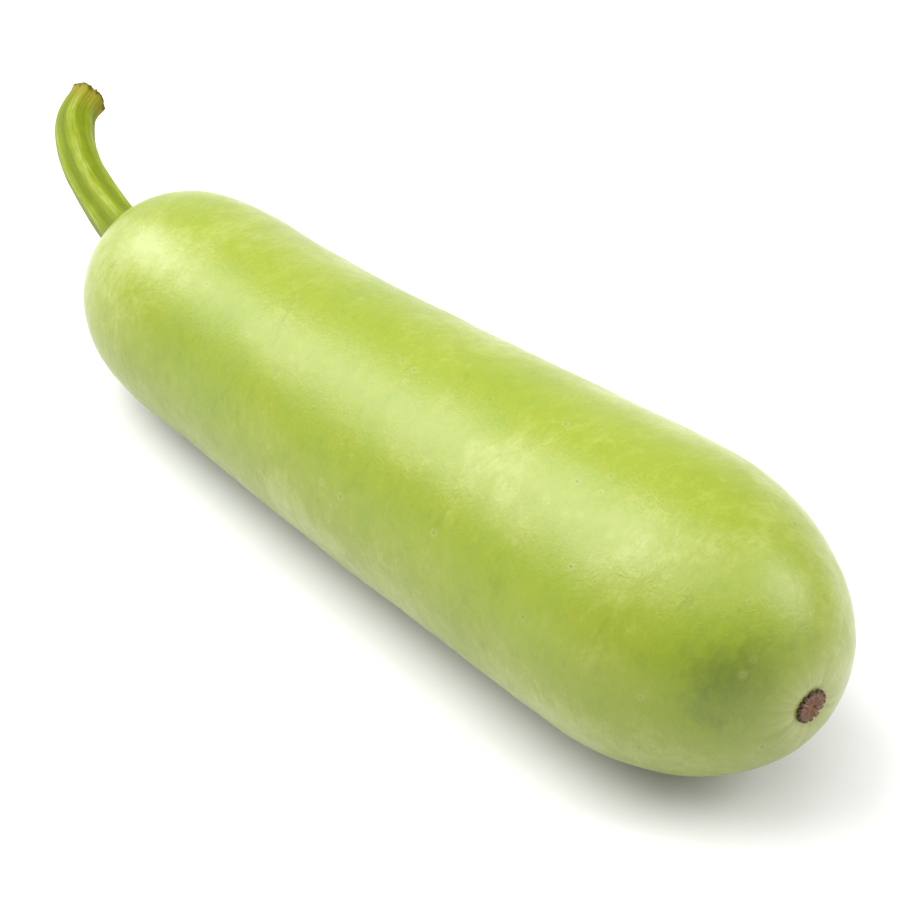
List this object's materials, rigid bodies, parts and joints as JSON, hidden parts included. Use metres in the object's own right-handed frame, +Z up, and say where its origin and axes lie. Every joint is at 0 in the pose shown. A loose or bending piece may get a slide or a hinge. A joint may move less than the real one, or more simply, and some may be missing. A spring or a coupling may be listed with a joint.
{
  "type": "bottle gourd",
  "caption": "Long fresh bottle gourd with a smooth pale green skin, a bent ridged cut stalk and a dried blossom scar, lying on its side.",
  "frame": {"origin": "under the middle of the gourd's bounding box, on the surface that it lies on", "axes": "+X along the fruit towards the blossom end, with the stalk at the -X end; +Z up"},
  "size_m": [0.3618, 0.0918, 0.0917],
  "materials": {
    "fruit_skin": "living gourd skin: cloudy pale yellow-green, satin, with a fine soft down",
    "stalk_fibre": "fresh green stalk, matt, with fine lengthwise ridges and a drying cut end",
    "dried_blossom": "dried flower remains: matt mauve-brown radial pleats"
  },
  "bodies": {
    "root": {"fruit": "fruit_skin", "stem": "stalk_fibre", "blossom_scar": "dried_blossom"}
  },
  "joints": []
}
